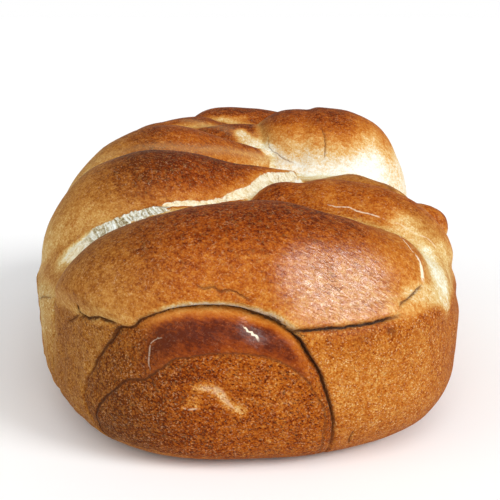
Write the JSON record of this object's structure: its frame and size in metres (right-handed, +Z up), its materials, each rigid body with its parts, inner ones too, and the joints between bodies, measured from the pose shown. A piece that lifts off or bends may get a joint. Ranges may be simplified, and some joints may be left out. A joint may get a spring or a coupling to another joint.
{
  "type": "brioche loaf",
  "caption": "Plaited brioche loaf baked in an oblong tin, with domed lobes crossing over the top and creased flat-pressed sides.",
  "frame": {"origin": "centre of the loaf's box, at the height of its flat bottom", "axes": "+Z up, +Y along the loaf's length away from the pictured end, +X to the right of that end"},
  "size_m": [0.1584, 0.2248, 0.0963],
  "materials": {
    "crust": "egg-washed brown crust, glossy on the crests, pale in the creases, matte and pebbled on the sides"
  },
  "bodies": {
    "root": {"brioche_loaf": "crust"}
  },
  "joints": []
}
